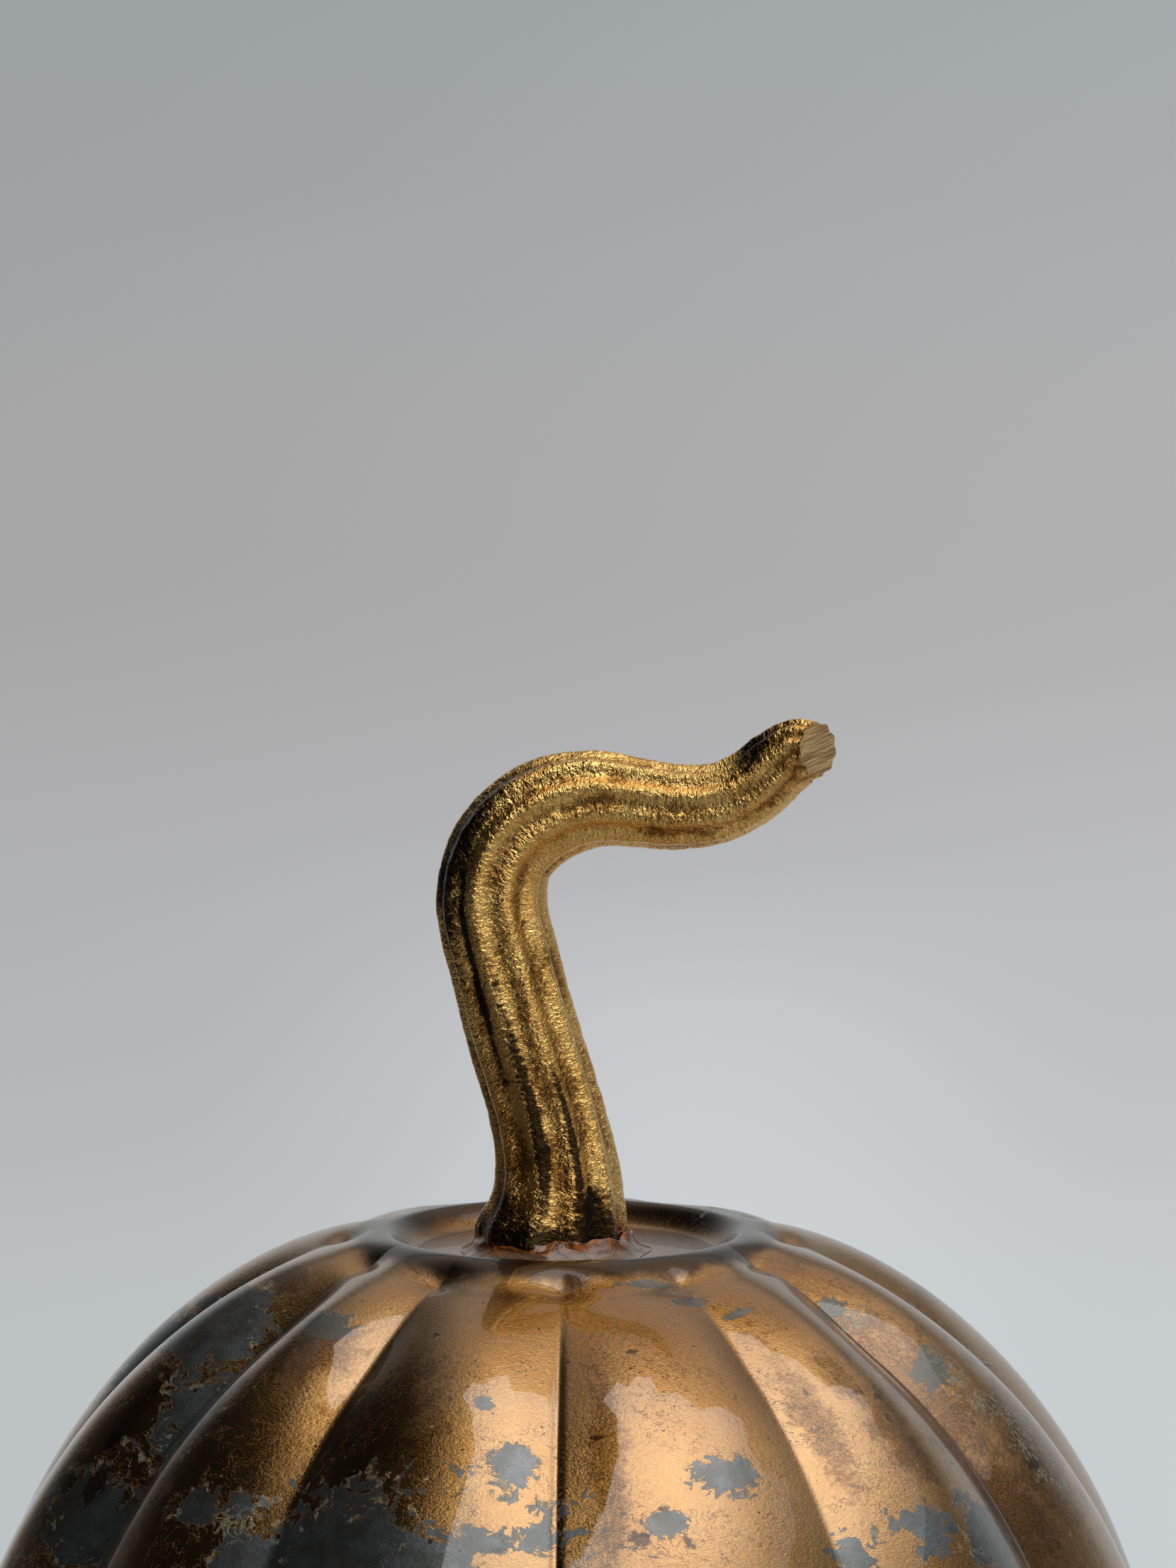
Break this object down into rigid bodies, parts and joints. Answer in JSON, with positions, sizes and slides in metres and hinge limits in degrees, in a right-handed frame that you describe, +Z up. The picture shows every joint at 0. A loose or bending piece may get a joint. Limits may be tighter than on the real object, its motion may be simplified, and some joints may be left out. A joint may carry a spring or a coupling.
{
  "type": "mirrored glass pumpkin",
  "caption": "Ribbed hollow pumpkin of antiqued mirrored glass with a curled gold stem glued into the crown, a pull-out base stopper and clear bumper feet.",
  "frame": {"origin": "on the tabletop, under the centre of the object's box", "axes": "+Z up; -Y is the front, where a groove between two lobes faces the viewer and the stem curls to +X"},
  "size_m": [0.207, 0.207, 0.2363],
  "materials": {
    "mirrored_glass": "antiqued gold mirror behind clear gloss glass",
    "gold_stem": "crinkled bright gold",
    "amber_glue": "clear amber gloss",
    "stopper_rubber": "satin translucent",
    "clear_bumper": "clear gloss"
  },
  "bodies": {
    "pumpkin": {"glass_shell": "mirrored_glass", "stem": "gold_stem", "stem_glue_bead": "amber_glue", "bumper_foot_1": "clear_bumper", "bumper_foot_2": "clear_bumper", "bumper_foot_3": "clear_bumper", "bumper_foot_4": "clear_bumper"},
    "stopper": {"base_stopper": "stopper_rubber"}
  },
  "joints": [
    {"name": "stopper_pull", "type": "slide", "parent": "pumpkin", "child": "stopper", "axis": [0, 0, -1], "range_m": [0, 0.03]}
  ]
}
